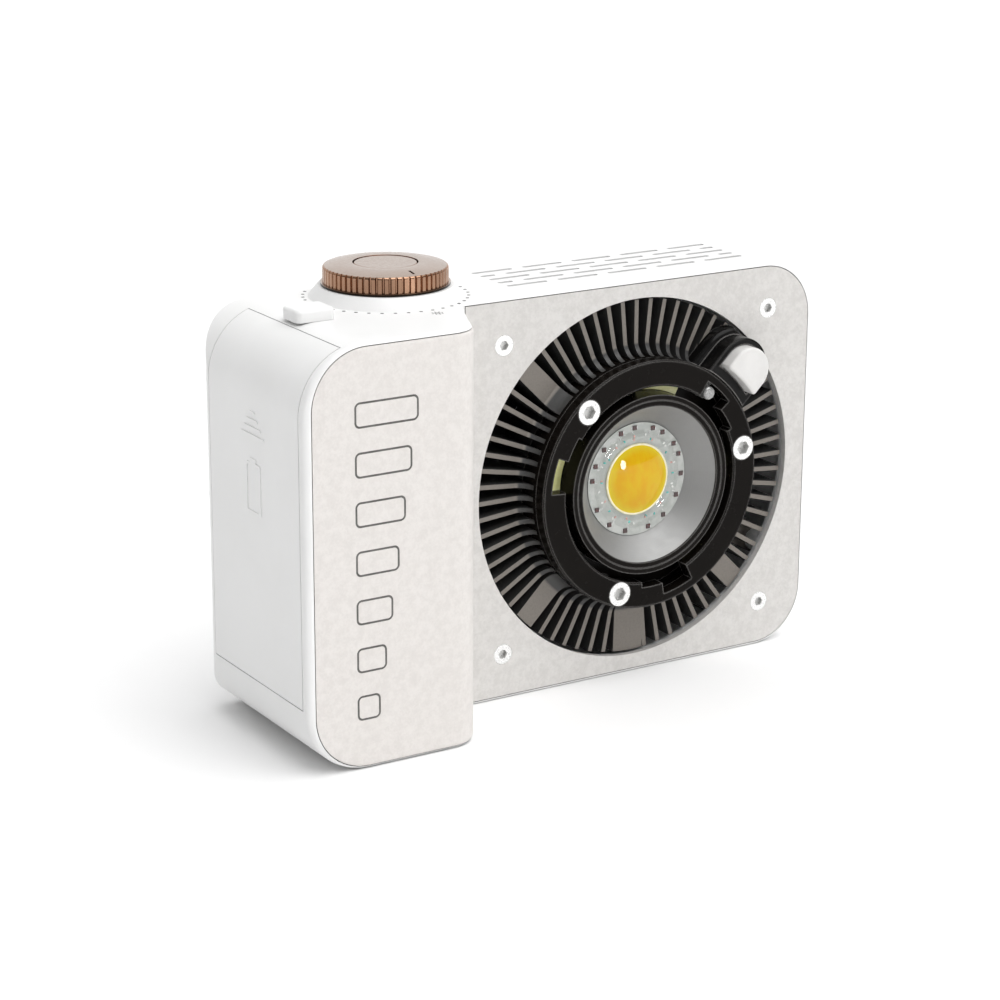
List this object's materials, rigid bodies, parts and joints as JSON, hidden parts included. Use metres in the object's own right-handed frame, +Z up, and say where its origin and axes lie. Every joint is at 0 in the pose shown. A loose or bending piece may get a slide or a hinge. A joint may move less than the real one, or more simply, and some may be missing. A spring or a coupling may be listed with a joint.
{
  "type": "compact led spotlight with bayonet mount",
  "caption": "Camera-shaped hand-held LED spotlight with battery grip, top control dial, finned heat sink round the emitter and a bayonet ring for lenses and modifiers.",
  "frame": {"origin": "middle of the case's footprint, on the surface it stands on", "axes": "+X to the right seen from the front, the light shines along -Y, +Z up"},
  "size_m": [0.1806, 0.0639, 0.1252],
  "materials": {
    "case_white": "satin white moulded plastic",
    "plate_grey": "mottled light grey paint",
    "grip_leather": "off-white mottled leatherette",
    "screw_bright": "bright",
    "screw_dark": "black oxide",
    "dial_copper": "anodised copper, fine turned",
    "black_metal": "satin black anodised",
    "housing_black": "gloss black",
    "button_grey": "pale grey",
    "pin_steel": "satin",
    "sink_dark": "dark anodised, machined front edges",
    "insulator_yellow": "gloss yellow",
    "reflector_silver": "satin bright",
    "cob_white": "white solder mask",
    "cob_clear": "clear resin over a silver board",
    "phosphor": "glossy yellow",
    "led_red": "dark red",
    "spring_steel": "bright wire",
    "battery_grey": "dark grey",
    "bay_black": "matt black",
    "contact_brass": "plain",
    "board_green": "solder mask",
    "encoder_metal": "zinc",
    "ferrite": "dull",
    "can_aluminium": "bright can",
    "fan_black": "matt black",
    "window_glass": "smoked",
    "key_rubber": "soft grey",
    "socket_steel": "drawn shell"
  },
  "bodies": {
    "case": {"battery_bay": "bay_black", "battery_contacts": "contact_brass", "battery_pack": "battery_grey", "bayonet_ring": "black_metal", "bayonet_screws": "screw_bright", "cob_board": "cob_white", "cob_cover": "cob_clear", "control_board": "board_green", "display_module": "bay_black", "display_window": "window_glass", "driver_board": "board_green", "driver_capacitors": "can_aluminium", "driver_inductor": "ferrite", "encoder_body": "encoder_metal", "encoder_nut": "pin_steel", "fan_frame": "fan_black", "fan_screws": "screw_dark", "front_case": "case_white", "front_plate": "plate_grey", "front_plate_screws": "screw_bright", "grip_panel": "grip_leather", "heat_sink": "sink_dark", "heat_sink_screws": "screw_dark", "insulator_ring": "insulator_yellow", "key_switches": "bay_black", "lamp_holder": "black_metal", "latch_spring": "spring_steel", "led_chips": "led_red", "phosphor_dome": "phosphor", "power_socket": "socket_steel", "rear_board": "board_green", "rear_cover": "case_white", "rear_cover_screws": "screw_dark", "reflector": "reflector_silver", "reflector_bezel": "black_metal", "release_housing": "housing_black", "release_spring": "spring_steel", "tripod_insert": "contact_brass"},
    "battery_door": {"battery_door": "case_white"},
    "door_latch": {"door_latch": "case_white"},
    "dial": {"dial": "dial_copper", "encoder_shaft": "pin_steel"},
    "dial_button": {"dial_button": "dial_copper", "push_rod": "pin_steel"},
    "release": {"release_button": "button_grey", "lock_pin": "pin_steel"},
    "fan_rotor": {"fan_rotor": "fan_black"},
    "power_button": {"power_button": "key_rubber"},
    "mode_button": {"mode_button": "key_rubber"},
    "colour_button": {"colour_button": "key_rubber"}
  },
  "joints": [
    {"name": "dial_turn", "type": "hinge", "parent": "case", "child": "dial", "pos_m": [-0.0402, 0.0146, 0.122], "axis": [0, 0, 1], "continuous": true},
    {"name": "dial_press", "type": "slide", "parent": "dial", "child": "dial_button", "axis": [0, 0, -1], "range_m": [0, 0.0008], "stiffness_N_per_m": 1200, "springref_m": -0.0005},
    {"name": "latch_slide", "type": "slide", "parent": "case", "child": "door_latch", "axis": [1, 0, 0], "range_m": [0, 0.003], "stiffness_N_per_m": 500, "springref_m": -0.001, "deforming": ["latch_spring"]},
    {"name": "door_slide", "type": "slide", "parent": "case", "child": "battery_door", "axis": [0, 0, 1], "range_m": [0, 0.01]},
    {"name": "release_press", "type": "slide", "parent": "case", "child": "release", "axis": [0, 1, 0], "range_m": [0, 0.003], "stiffness_N_per_m": 800, "springref_m": -0.001, "deforming": ["release_spring"]},
    {"name": "fan_spin", "type": "hinge", "parent": "case", "child": "fan_rotor", "pos_m": [0.03, 0.018, 0.0581], "axis": [0, -1, 0], "continuous": true},
    {"name": "power_press", "type": "slide", "parent": "case", "child": "power_button", "axis": [0, -1, 0], "range_m": [0, 0.0006], "stiffness_N_per_m": 1200, "springref_m": -0.0003},
    {"name": "mode_press", "type": "slide", "parent": "case", "child": "mode_button", "axis": [0, -1, 0], "range_m": [0, 0.0006], "stiffness_N_per_m": 1200, "springref_m": -0.0003},
    {"name": "colour_press", "type": "slide", "parent": "case", "child": "colour_button", "axis": [0, -1, 0], "range_m": [0, 0.0006], "stiffness_N_per_m": 1200, "springref_m": -0.0003}
  ]
}
